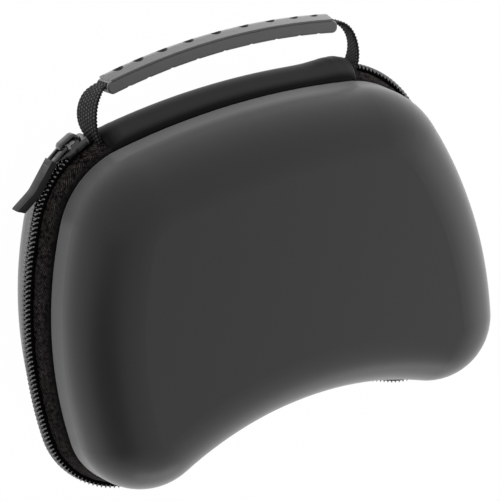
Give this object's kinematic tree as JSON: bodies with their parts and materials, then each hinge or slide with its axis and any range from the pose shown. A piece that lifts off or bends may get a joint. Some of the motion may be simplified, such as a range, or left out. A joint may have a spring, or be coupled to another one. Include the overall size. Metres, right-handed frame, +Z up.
{
  "type": "controller carrying case",
  "caption": "Moulded clamshell carrying case for a game controller, with a coil zip round the seam, a soft hinge panel and a webbing handle with a moulded grip.",
  "frame": {"origin": "on the floor under the middle of the flat back face, with the case lying on its back", "axes": "+X to the right as seen from the front face, +Y from the lobes to the handle, +Z up through the front face"},
  "size_m": [0.1826, 0.153, 0.081],
  "materials": {
    "shell_skin": "matte dark grey skin moulded on foam",
    "zip_tape": "black woven tape",
    "zip_coil": "black nylon coil",
    "binding": "black woven binding",
    "panel_skin": "smooth black coated cloth",
    "webbing": "coarse black webbing",
    "grip_rubber": "matte mid-grey moulded rubber",
    "slider_metal": "gunmetal plating, polished edges",
    "tab_plastic": "matte grey moulded tab"
  },
  "bodies": {
    "base": {"back_shell": "shell_skin", "back_zip_tape": "zip_tape", "back_zip_coil": "zip_coil", "back_binding": "binding"},
    "lid": {"front_shell": "shell_skin", "front_zip_tape": "zip_tape", "front_zip_coil": "zip_coil", "front_binding": "binding"},
    "spine": {"hinge_panel": "panel_skin"},
    "handle": {"handle_webbing": "webbing", "handle_grip": "grip_rubber"},
    "slider": {"zip_slider": "slider_metal"},
    "pull": {"pull_link": "slider_metal", "pull_tab": "tab_plastic"}
  },
  "joints": [
    {"name": "lid_hinge", "type": "hinge", "parent": "base", "child": "lid", "pos_m": [0, 0.0683, 0.0405], "axis": [-1, 0, 0], "range_deg": [0, 120], "deforming": ["hinge_panel", "front_zip_coil"]},
    {"name": "spine_fold", "type": "hinge", "parent": "base", "child": "spine", "pos_m": [0, 0.0683, 0.0405], "axis": [-1, 0, 0], "range_deg": [0, 60]},
    {"name": "handle_swing", "type": "hinge", "parent": "spine", "child": "handle", "pos_m": [0, 0.0713, 0.0405], "axis": [1, 0, 0], "range_deg": [-25, 25]},
    {"name": "slider_travel", "type": "hinge", "parent": "base", "child": "slider", "pos_m": [-0.0405, 0.0245, 0.0405], "axis": [0, 0, 1], "range_deg": [0, 20]},
    {"name": "pull_swing", "type": "hinge", "parent": "slider", "child": "pull", "pos_m": [-0.06084, 0.06187, 0.0405], "axis": [0, 0, -1], "range_deg": [0, 110]}
  ],
  "couplings": [
    {"joint": "spine_fold", "follows": "lid_hinge", "ratio": 0.5}
  ]
}
